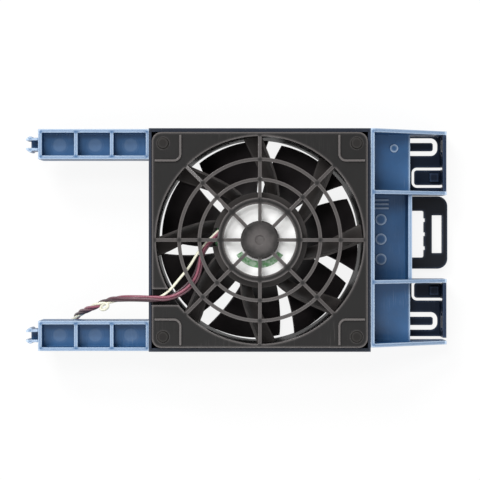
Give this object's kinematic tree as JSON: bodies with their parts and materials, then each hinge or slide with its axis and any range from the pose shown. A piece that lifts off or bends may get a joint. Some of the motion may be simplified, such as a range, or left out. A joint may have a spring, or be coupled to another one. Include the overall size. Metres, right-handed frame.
{
  "type": "server fan module",
  "caption": "Axial server fan with finger guard in a moulded carrier with hooked arms, slotted latch plates, a release lever and a short lead with a plug.",
  "frame": {"origin": "centre of the footprint on the intake face, which the module lies on", "axes": "+Z along the airflow towards the finger guard, +X from the arm lugs towards the release lever, +Y across the width"},
  "size_m": [0.185, 0.0973, 0.0438],
  "materials": {
    "blue_plastic": "satin moulded",
    "bay_plastic": "satin moulded",
    "latch_plastic": "satin moulded",
    "fan_plastic": "fine grain",
    "impeller_plastic": "semi-gloss",
    "pin_rubber": "matte",
    "steel": "ground",
    "brass": "turned",
    "lamination": "stamped",
    "magnet": "matte bonded",
    "copper": "enamelled",
    "board": "solder mask",
    "label": "blank matte",
    "lead": "matte insulation",
    "plug_plastic": "natural nylon",
    "tin": "tinned"
  },
  "bodies": {
    "module": {"carrier_bay": "bay_plastic", "upper_arm": "blue_plastic", "lower_arm": "blue_plastic", "latch_tray": "blue_plastic", "latch_plate_upper": "latch_plastic", "latch_plate_lower": "latch_plastic", "lever_pin": "steel", "fan_housing": "fan_plastic", "stator_frame": "fan_plastic", "finger_guard": "fan_plastic", "mount_pin_1": "pin_rubber", "mount_pin_2": "pin_rubber", "mount_pin_3": "pin_rubber", "mount_pin_4": "pin_rubber", "bearing_tube": "brass", "bearing_front": "steel", "bearing_rear": "steel", "stator_core": "lamination", "stator_coil_1": "copper", "stator_coil_2": "copper", "stator_coil_3": "copper", "stator_coil_4": "copper", "circuit_board": "board", "motor_label": "label", "lead_inner": "lead", "lead_free": "lead", "plug_housing": "plug_plastic", "plug_contact_1": "tin", "plug_contact_2": "tin", "plug_contact_3": "tin", "plug_contact_4": "tin"},
    "rotor": {"impeller": "impeller_plastic", "rotor_yoke": "lamination", "magnet_ring": "magnet", "shaft": "steel", "retaining_clip": "steel"},
    "lever": {"release_lever": "latch_plastic"}
  },
  "joints": [
    {"name": "impeller_spin", "type": "hinge", "parent": "module", "child": "rotor", "pos_m": [0.00845, 0, 0.02], "axis": [0, 0, 1], "continuous": true},
    {"name": "lever_lift", "type": "hinge", "parent": "module", "child": "lever", "pos_m": [0.07085, 0, 0.004], "axis": [0, -1, 0], "range_deg": [0, 28], "stiffness_Nm_per_rad": 0.02, "springref_deg": -8.59}
  ]
}
